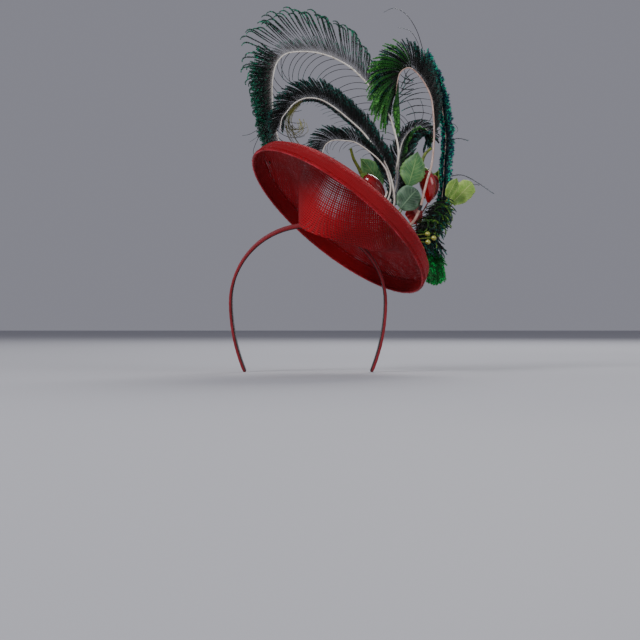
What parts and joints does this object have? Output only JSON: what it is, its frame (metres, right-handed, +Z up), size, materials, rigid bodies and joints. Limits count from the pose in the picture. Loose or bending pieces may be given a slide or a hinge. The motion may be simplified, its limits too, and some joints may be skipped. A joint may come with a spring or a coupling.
{
  "type": "percher hat",
  "caption": "Tilted percher hat of open woven straw with a bound down-turned rim, sewn to a flexing covered headband and trimmed with curled feathers, leaves, peppers and a plume.",
  "frame": {"origin": "underside of the headband at the top of the head, on its lining", "axes": "+Z up as worn, +X to the side that the hat tilts to, +Y the way the wearer faces"},
  "size_m": [0.2567, 0.1964, 0.3563],
  "materials": {
    "spring_strip": "plain moulded strip",
    "band_fabric": "satin weave cover",
    "band_lining": "velvet lining",
    "straw_weave": "open woven straw",
    "rim_wire": "covered millinery wire",
    "binding": "bias bound edge",
    "thread": "sewing thread",
    "felt": "felt",
    "binding_thread": "wound thread",
    "quill": "smooth quill",
    "feather_vane": "iridescent barbs",
    "olive_barbs": "curled barbs",
    "leaf_green": "printed cloth leaf",
    "leaf_lime": "printed cloth leaf",
    "stem_wire": "covered stem wire",
    "pepper_red": "gloss lacquer",
    "petal_red": "cloth petal",
    "plume_green": "iridescent barbs"
  },
  "bodies": {
    "hat_and_band_top": {"band_core_top": "spring_strip", "band_cover_top": "band_fabric", "band_lining_top": "band_lining", "brim": "straw_weave", "crown": "straw_weave", "rim_wire": "rim_wire", "edge_binding": "binding", "band_stitches": "thread", "felt_mound": "felt", "quill_1": "quill", "quill_2": "quill", "quill_3": "quill", "quill_4": "quill", "quill_5": "quill", "quill_6": "quill", "vane_1": "feather_vane", "vane_2": "feather_vane", "vane_3": "feather_vane", "vane_4": "feather_vane", "vane_5": "feather_vane", "vane_6": "feather_vane", "quill_binding": "binding_thread", "wisp_barbs": "feather_vane", "olive_curl": "olive_barbs", "leaf_round": "leaf_green", "leaf_pointed": "leaf_green", "leaf_back": "leaf_green", "leaf_lobed": "leaf_lime", "leaf_small": "leaf_lime", "leaf_wires": "stem_wire", "pepper_front": "pepper_red", "pepper_back": "pepper_red", "pepper_caps": "leaf_lime", "pepper_stems": "stem_wire", "red_petals": "petal_red", "petal_wires": "petal_red", "lime_ruffle": "leaf_lime", "bud_berries": "leaf_lime", "bud_wires": "stem_wire", "herl_tuft": "feather_vane", "plume_vane": "plume_green", "plume_quill": "quill"},
    "left_arm": {"band_core_left": "spring_strip", "band_cover_left": "band_fabric", "band_lining_left": "band_lining"},
    "right_arm": {"band_core_right": "spring_strip", "band_cover_right": "band_fabric", "band_lining_right": "band_lining"}
  },
  "joints": [
    {"name": "left_arm_flex", "type": "hinge", "parent": "hat_and_band_top", "child": "left_arm", "pos_m": [-0.06409, 0.00617, -0.03496], "axis": [0, 0.9848, 0.1736], "range_deg": [-3, 12], "stiffness_Nm_per_rad": 1.4},
    {"name": "right_arm_flex", "type": "hinge", "parent": "hat_and_band_top", "child": "right_arm", "pos_m": [0.06409, 0.00617, -0.03496], "axis": [0, -0.9848, -0.1736], "range_deg": [-3, 12], "stiffness_Nm_per_rad": 1.4}
  ]
}
